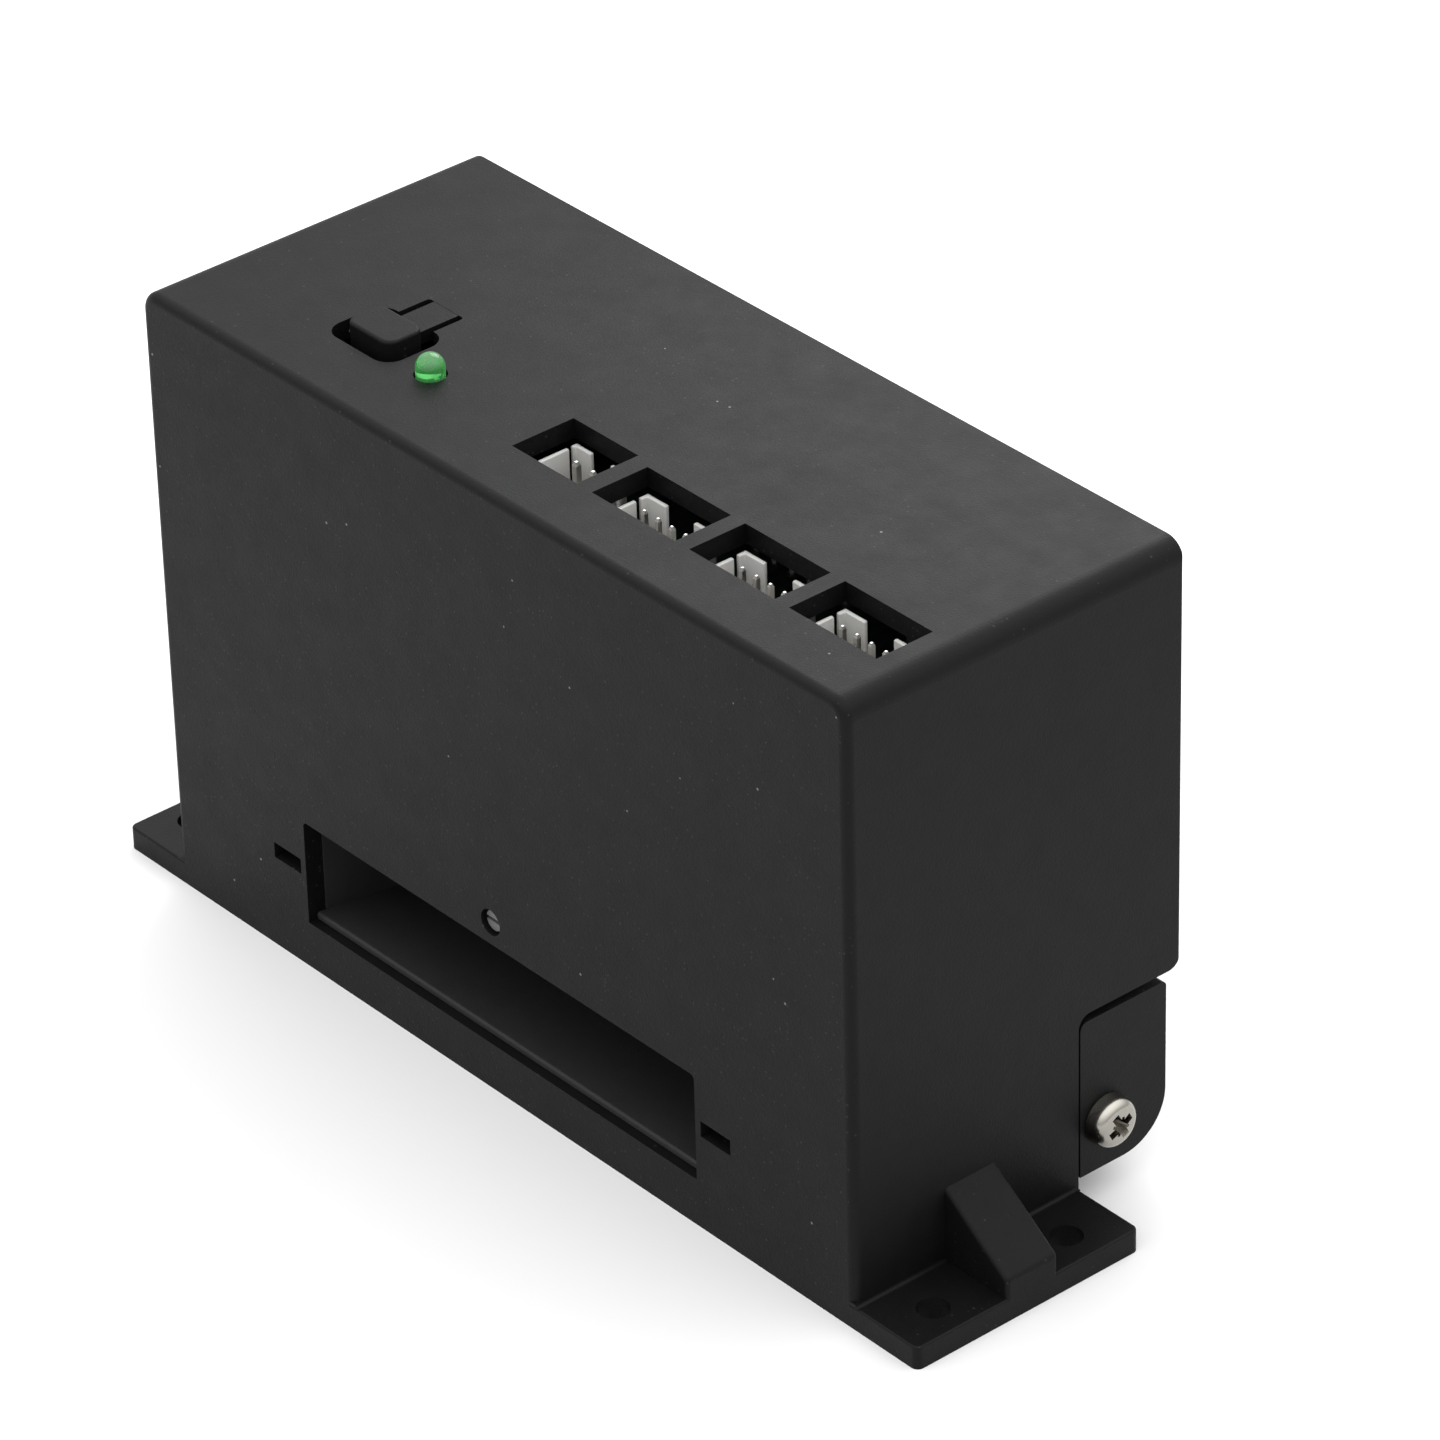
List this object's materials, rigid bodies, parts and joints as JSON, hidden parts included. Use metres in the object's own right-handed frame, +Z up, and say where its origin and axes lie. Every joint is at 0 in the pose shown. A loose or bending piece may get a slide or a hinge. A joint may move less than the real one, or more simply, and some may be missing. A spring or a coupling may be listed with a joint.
{
  "type": "stepper driver module",
  "caption": "Stepper driver module: flanged black case with a press tab and lamp, plug headers sunk in top windows, a front cable window and a screwed rear wiring cover.",
  "frame": {"origin": "middle of the footprint, on the surface that the feet stand on", "axes": "+X along the long front face towards the plug windows' end, +Y from the front face to the rear cover, +Z up"},
  "size_m": [0.1224, 0.042, 0.0723],
  "materials": {
    "case_plastic": "fine-textured matt black moulding",
    "cover_plastic": "fine-textured matt black moulding",
    "header_nylon": "natural ivory nylon",
    "contact_tin": "bright tin plate",
    "nickel_screw": "bright nickel plate",
    "zinc_screw": "clear zinc plate",
    "brass": "turned brass",
    "board_laminate": "black solder mask over glass laminate",
    "black_moulding": "black moulding",
    "chip_epoxy": "moulded epoxy",
    "heatsink_aluminium": "plain extruded aluminium",
    "capacitor_can": "plain drawn can",
    "ferrite": "dark ferrite",
    "terminal_plastic": "green moulding",
    "trimmer_plastic": "blue moulding",
    "trimmer_shaft_plastic": "dark grey moulding",
    "lamp_green": "clear green moulding"
  },
  "bodies": {
    "housing": {"base_plate": "cover_plastic", "base_plate_screws": "zinc_screw", "cable_sill": "cover_plastic", "control_header_body": "black_moulding", "control_header_pins": "contact_tin", "crystal": "zinc_screw", "current_trimmer_body": "trimmer_plastic", "driver_chip_1": "chip_epoxy", "driver_chip_2": "chip_epoxy", "driver_chip_3": "chip_epoxy", "filter_capacitor_1": "capacitor_can", "filter_capacitor_2": "capacitor_can", "filter_capacitor_3": "capacitor_can", "heatsink_1": "heatsink_aluminium", "heatsink_2": "heatsink_aluminium", "heatsink_3": "heatsink_aluminium", "housing_shell": "case_plastic", "interface_board": "board_laminate", "interface_board_screws": "zinc_screw", "link_header_body": "black_moulding", "link_header_pins": "contact_tin", "microcontroller": "chip_epoxy", "motor_header_1_body": "header_nylon", "motor_header_1_pins": "contact_tin", "motor_header_2_body": "header_nylon", "motor_header_2_pins": "contact_tin", "motor_header_3_body": "header_nylon", "motor_header_3_pins": "contact_tin", "power_board": "board_laminate", "power_board_screws": "zinc_screw", "power_header_body": "header_nylon", "power_header_pins": "contact_tin", "power_inductor": "ferrite", "rear_cover": "cover_plastic", "rear_cover_inserts": "brass", "rear_cover_screws": "nickel_screw", "reset_switch_base": "black_moulding", "reset_switch_cover": "zinc_screw", "status_led_leads": "contact_tin", "status_led_lens": "lamp_green", "status_led_spacer": "header_nylon", "terminal_block_body": "terminal_plastic", "terminal_block_clamps": "brass", "terminal_block_screws": "zinc_screw", "voltage_regulator": "chip_epoxy"},
    "reset_tab": {"reset_tab": "case_plastic"},
    "switch_plunger": {"reset_switch_plunger": "black_moulding"},
    "trimmer_shaft": {"current_trimmer_shaft": "trimmer_shaft_plastic"}
  },
  "joints": [
    {"name": "reset_tab_bend", "type": "hinge", "parent": "housing", "child": "reset_tab", "pos_m": [-0.02863, -0.0014, 0.0686], "axis": [1, 0, 0], "range_deg": [0, 2], "stiffness_Nm_per_rad": 0.02},
    {"name": "switch_plunger_press", "type": "slide", "parent": "housing", "child": "switch_plunger", "axis": [0, 0, -1], "range_m": [0, 0.000268]},
    {"name": "trimmer_shaft_turn", "type": "hinge", "parent": "housing", "child": "trimmer_shaft", "pos_m": [-0.00094, -0.0036, 0.02018], "axis": [0, 1, 0], "range_deg": [-130, 130]}
  ],
  "couplings": [
    {"joint": "reset_tab_bend", "follows": "switch_plunger_press", "rad_per_m": 129.87}
  ]
}
